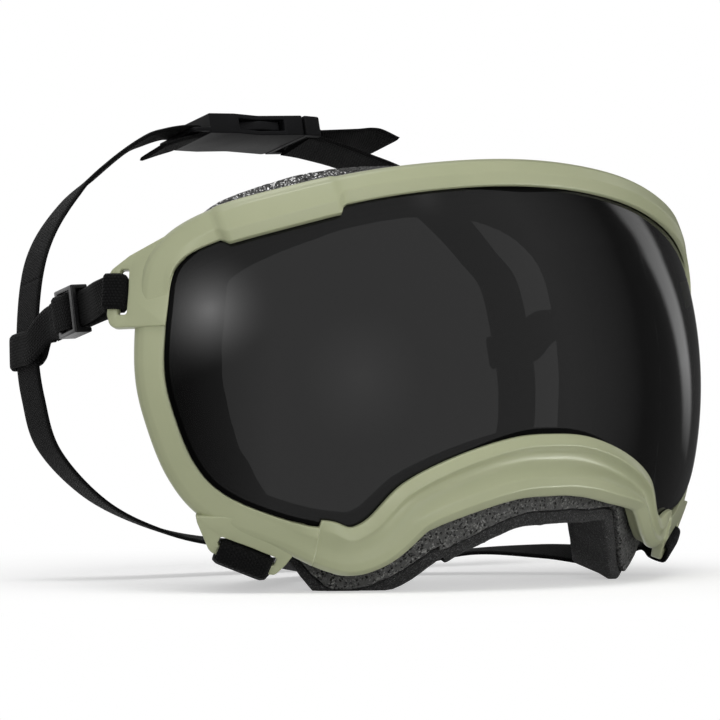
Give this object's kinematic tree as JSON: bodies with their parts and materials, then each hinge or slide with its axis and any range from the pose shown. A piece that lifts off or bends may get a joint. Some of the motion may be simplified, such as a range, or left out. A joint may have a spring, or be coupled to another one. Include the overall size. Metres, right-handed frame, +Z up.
{
  "type": "dog goggles",
  "caption": "Dog goggles: domed smoked lens in a moulded frame with nose bridge, foam seal, sliders, head strap with side-release buckle and chin strap.",
  "frame": {"origin": "middle of the bounding box at floor height", "axes": "the lens looks towards -Y, the dog's right side is -X, +Z is up"},
  "size_m": [0.2088, 0.1413, 0.1309],
  "materials": {
    "moulded_frame": "satin",
    "smoked_lens": "gloss",
    "gasket": "matte",
    "coarse_foam": "matte",
    "fine_foam": "matte",
    "webbing": "matte",
    "slider_plastic": "satin",
    "buckle_plastic": "satin"
  },
  "bodies": {
    "goggles": {"frame": "moulded_frame", "lens": "smoked_lens", "lens_gasket": "gasket", "foam_base": "coarse_foam", "foam_face": "fine_foam", "temple_strap_left": "webbing", "temple_strap_right": "webbing", "keeper_left": "webbing", "keeper_right": "webbing", "head_strap_lower": "webbing", "head_strap_right": "webbing", "head_strap_left": "webbing", "strap_tail_right": "webbing", "chin_strap": "webbing", "buckle_socket": "buckle_plastic"},
    "slider_left": {"slider_left": "slider_plastic"},
    "slider_right": {"slider_right": "slider_plastic"},
    "plug": {"buckle_plug": "buckle_plastic", "strap_tail_left": "webbing"},
    "arm_front": {"buckle_arm_front": "buckle_plastic"},
    "arm_back": {"buckle_arm_back": "buckle_plastic"}
  },
  "joints": [
    {"name": "slider_left_slide", "type": "slide", "parent": "goggles", "child": "slider_left", "axis": [-0.2, 0.9649, -0.17], "range_m": [-0.003, 0.006]},
    {"name": "slider_right_slide", "type": "slide", "parent": "goggles", "child": "slider_right", "axis": [0.2, 0.9649, -0.17], "range_m": [-0.003, 0.006]},
    {"name": "plug_slide", "type": "slide", "parent": "goggles", "child": "plug", "axis": [1, 0, 0], "range_m": [0, 0.022], "deforming": ["head_strap_left", "buckle_arm_front", "buckle_arm_back"]},
    {"name": "arm_front_squeeze", "type": "hinge", "parent": "plug", "child": "arm_front", "pos_m": [0.008, 0.05407, 0.1269], "axis": [0, 0.2419, 0.9703], "range_deg": [-5, 0], "stiffness_Nm_per_rad": 0.2},
    {"name": "arm_back_squeeze", "type": "hinge", "parent": "plug", "child": "arm_back", "pos_m": [0.008, 0.06533, 0.1241], "axis": [0, 0.2419, 0.9703], "range_deg": [0, 5], "stiffness_Nm_per_rad": 0.2}
  ],
  "couplings": [
    {"joint": "arm_back_squeeze", "follows": "arm_front_squeeze", "ratio": -1}
  ]
}
